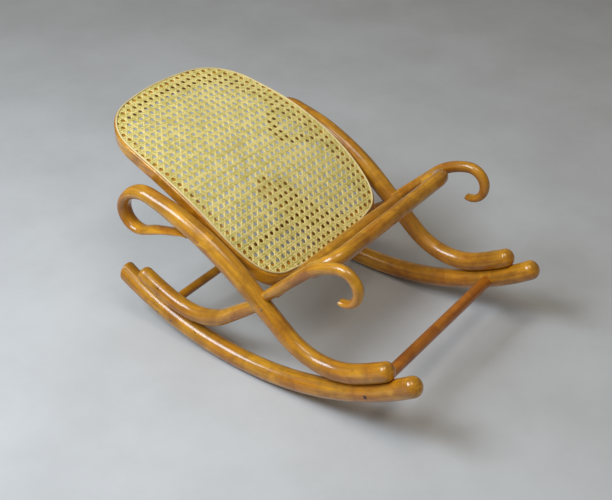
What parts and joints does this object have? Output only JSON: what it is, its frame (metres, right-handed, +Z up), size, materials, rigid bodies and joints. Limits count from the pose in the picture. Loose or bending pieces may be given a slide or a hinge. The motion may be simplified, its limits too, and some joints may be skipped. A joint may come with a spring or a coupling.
{
  "type": "rocking footstool",
  "caption": "Small bentwood rocking stool: S-scroll side frames on curved rockers, hooked front arms and a sloping caned seat panel.",
  "frame": {"origin": "on the floor, midway between the two rockers, where they touch it when the stool is at rest", "axes": "+Z up, -Y towards the front where the arms end in hooks, +X to the right as seen from the front"},
  "size_m": [0.3396, 0.5507, 0.2745],
  "materials": {
    "lacquered_beech": "steam-bent beech under glossy honey-coloured lacquer",
    "stained_beech": "turned beech under redder, duller stain",
    "cane": "split cane, glossy outer face",
    "binding_cane": "pale round cane",
    "dark_plug": "dark wooden plug",
    "nail_steel": "dull nail heads"
  },
  "bodies": {
    "root": {"rocker_left": "lacquered_beech", "rocker_right": "lacquered_beech", "rear_leg_left": "lacquered_beech", "rear_leg_right": "lacquered_beech", "side_scroll_left": "lacquered_beech", "side_scroll_right": "lacquered_beech", "front_arm_left": "lacquered_beech", "front_arm_right": "lacquered_beech", "cross_bow": "lacquered_beech", "front_rail": "lacquered_beech", "front_stretcher": "stained_beech", "rear_stretcher": "lacquered_beech", "seat_ring": "lacquered_beech", "cane_panel": "cane", "cane_binding": "binding_cane", "stretcher_plugs": "dark_plug", "rocker_nails": "nail_steel", "crossing_nails": "nail_steel", "bow_screws": "nail_steel"}
  },
  "joints": []
}
